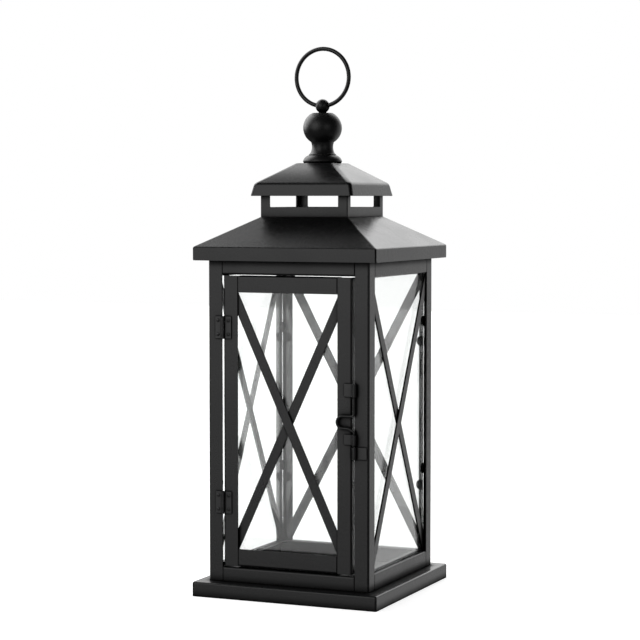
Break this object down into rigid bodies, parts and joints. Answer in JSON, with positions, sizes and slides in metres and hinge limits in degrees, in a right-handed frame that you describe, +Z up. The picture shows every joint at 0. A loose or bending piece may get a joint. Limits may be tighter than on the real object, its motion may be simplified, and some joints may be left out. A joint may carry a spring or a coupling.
{
  "type": "candle lantern",
  "caption": "Square black metal hanging lantern with glass sides crossed by X straps, a hinged latched glass door, a two-stage vented roof, a turned finial and a hanging ring.",
  "frame": {"origin": "centre of the base tray's underside, in the plane of its bottom rim", "axes": "+Z up through the finial and ring; the hinged door faces -Y, hinges on the -X side, latch on the +X side"},
  "size_m": [0.166, 0.166, 0.4596],
  "materials": {
    "powder_coat": "satin black powder coat on folded steel sheet",
    "cast_black": "satin black paint on a turned casting",
    "black_wire": "black painted round wire",
    "black_hardware": "black painted hinge leaves, rivets and clips",
    "bare_tabs": "dull dark metal clips",
    "zinc_hardware": "zinc-plated stud, washer and nut",
    "clear_glass": "clear flat glass with ground edges"
  },
  "bodies": {
    "root": {"base_tray": "powder_coat", "cap_roof": "powder_coat", "finial": "cast_black", "finial_nut": "zinc_hardware", "finial_stud": "zinc_hardware", "finial_washer": "zinc_hardware", "front_bottom_rail": "powder_coat", "front_top_rail": "powder_coat", "hinge_post_rivets": "black_hardware", "latch_keeper": "black_hardware", "left_bottom_rail": "powder_coat", "left_pane": "clear_glass", "left_pane_tabs": "bare_tabs", "left_strap_inner": "powder_coat", "left_strap_outer": "powder_coat", "left_top_rail": "powder_coat", "lower_hinge_pin": "black_wire", "lower_hinge_post_leaf": "black_hardware", "main_roof": "powder_coat", "post_front_left": "powder_coat", "post_front_right": "powder_coat", "post_rear_left": "powder_coat", "post_rear_right": "powder_coat", "rear_bottom_rail": "powder_coat", "rear_pane": "clear_glass", "rear_pane_tabs": "bare_tabs", "rear_strap_inner": "powder_coat", "rear_strap_outer": "powder_coat", "rear_top_rail": "powder_coat", "right_bottom_rail": "powder_coat", "right_pane": "clear_glass", "right_pane_tabs": "bare_tabs", "right_strap_inner": "powder_coat", "right_strap_outer": "powder_coat", "right_top_rail": "powder_coat", "ring_eye": "cast_black", "soffit_plate": "powder_coat", "upper_hinge_pin": "black_wire", "upper_hinge_post_leaf": "black_hardware", "vent_collar": "powder_coat"},
    "door": {"door_bottom_rail": "powder_coat", "door_left_stile": "powder_coat", "door_pane": "clear_glass", "door_pane_tabs": "bare_tabs", "door_right_stile": "powder_coat", "door_strap_inner": "powder_coat", "door_strap_outer": "powder_coat", "door_top_rail": "powder_coat", "upper_hinge_door_leaf": "black_hardware", "lower_hinge_door_leaf": "black_hardware", "hinge_door_rivets": "black_hardware", "latch_upper_clip": "black_hardware", "latch_lower_clip": "black_hardware"},
    "latch": {"latch_wire": "black_wire"},
    "ring": {"hanging_ring": "black_wire"}
  },
  "joints": [
    {"name": "door_hinge", "type": "hinge", "parent": "root", "child": "door", "pos_m": [-0.05815, -0.07345, 0.1522], "axis": [0, 0, -1], "range_deg": [0, 170]},
    {"name": "latch_slide", "type": "slide", "parent": "door", "child": "latch", "axis": [0, 0, 1], "range_m": [-0.003, 0.004]},
    {"name": "ring_swing", "type": "hinge", "parent": "root", "child": "ring", "pos_m": [0, 0, 0.4098], "axis": [1, 0, 0], "range_deg": [-155, 155]}
  ]
}
